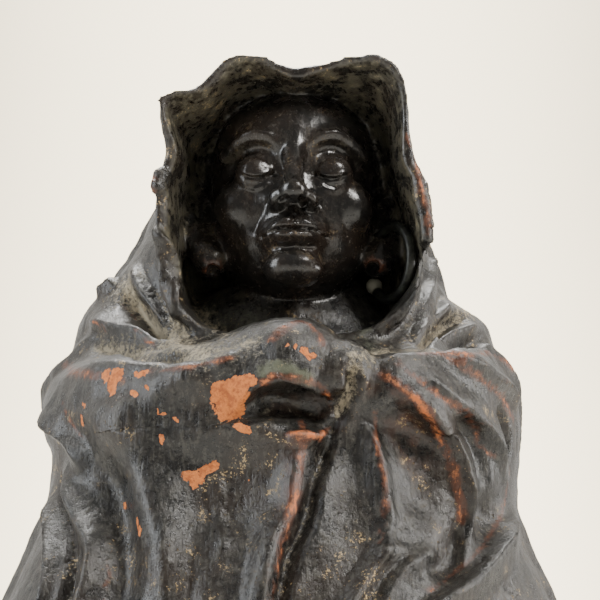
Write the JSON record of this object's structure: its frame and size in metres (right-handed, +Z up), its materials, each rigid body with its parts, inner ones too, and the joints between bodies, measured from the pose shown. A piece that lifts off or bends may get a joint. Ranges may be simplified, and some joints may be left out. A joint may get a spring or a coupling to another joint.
{
  "type": "seated hooded monk figure",
  "caption": "Seated monk in a hooded robe, arms folded under the cloth, lacquered fired clay on a low base, with a metal hoop in one long ear lobe.",
  "frame": {"origin": "centre of the underside, in the middle of the figure's box", "axes": "+Z up, -Y the way the figure faces, +X to the viewer's right"},
  "size_m": [0.2472, 0.2, 0.2676],
  "materials": {
    "lacquered_clay": "black-brown lacquer over orange fired clay, worn to the clay on the crests, dusty in the folds",
    "aged_bronze": "dull dark green-black patina"
  },
  "bodies": {
    "root": {"robed_figure": "lacquered_clay", "hoop_earring": "aged_bronze"}
  },
  "joints": []
}
